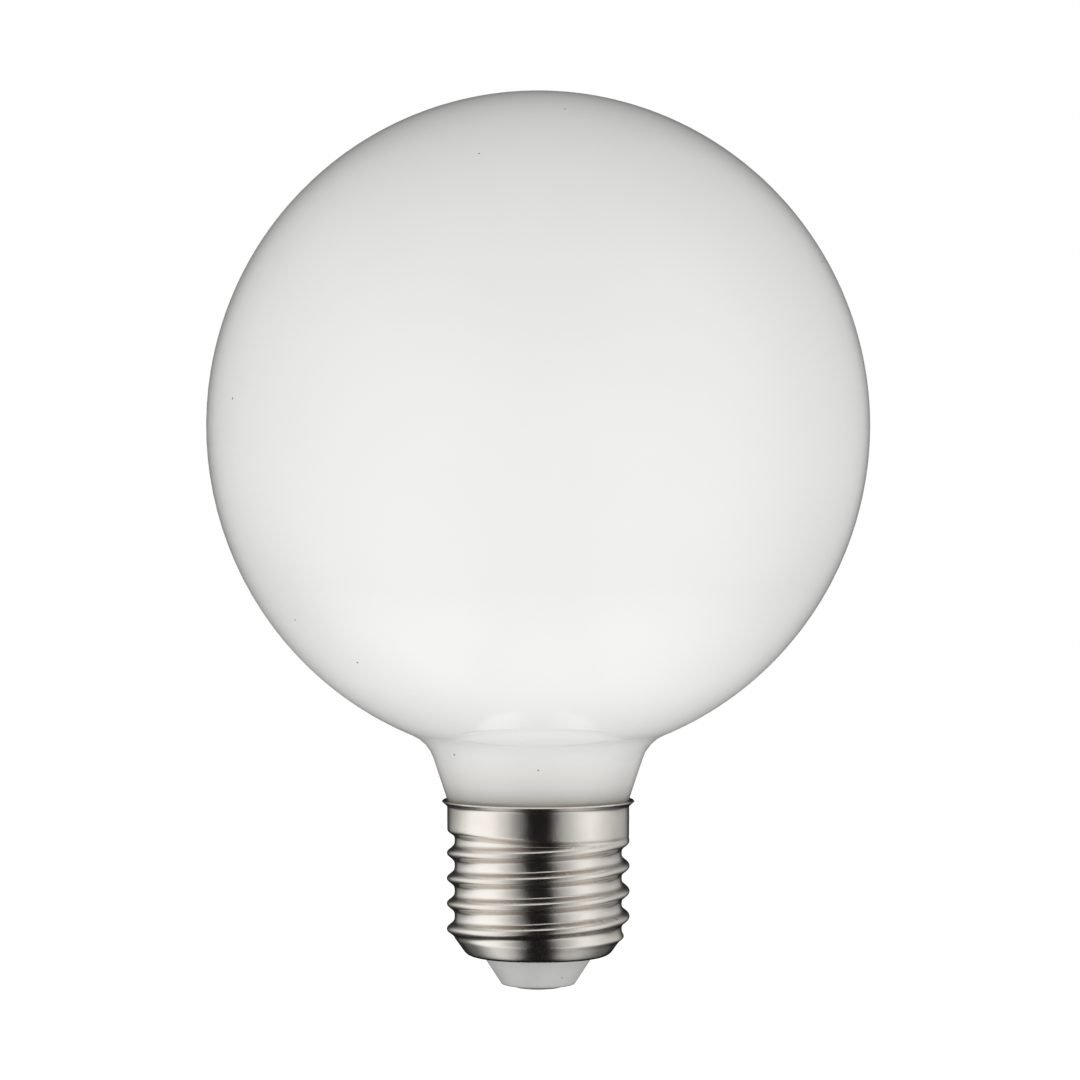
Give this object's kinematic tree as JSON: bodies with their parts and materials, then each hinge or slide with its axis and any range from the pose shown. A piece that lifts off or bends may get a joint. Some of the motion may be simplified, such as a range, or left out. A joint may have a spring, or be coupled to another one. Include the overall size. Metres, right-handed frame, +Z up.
{
  "type": "globe bulb",
  "caption": "Opal white globe bulb on a short tapered neck, with a nickel-plated screw cap, a white plug and a centre contact.",
  "frame": {"origin": "centre of the bottom face of the centre contact, the lowest point of the bulb", "axes": "+Z up along the bulb's axis from the contact to the globe's pole; -Y faces the viewer of the picture; a crest of the thread passes the +X side 13.8 mm up"},
  "size_m": [0.095, 0.095, 0.1284],
  "materials": {
    "opal_glass": "opal white glass, smooth and glossy",
    "nickel_shell": "nickel-plated thin sheet, satin bright",
    "white_plug": "moulded white plastic, satin",
    "nickel_contact": "nickel-plated, dull"
  },
  "bodies": {
    "root": {"glass_globe": "opal_glass", "screw_shell": "nickel_shell", "insulator": "white_plug", "centre_contact": "nickel_contact"}
  },
  "joints": []
}
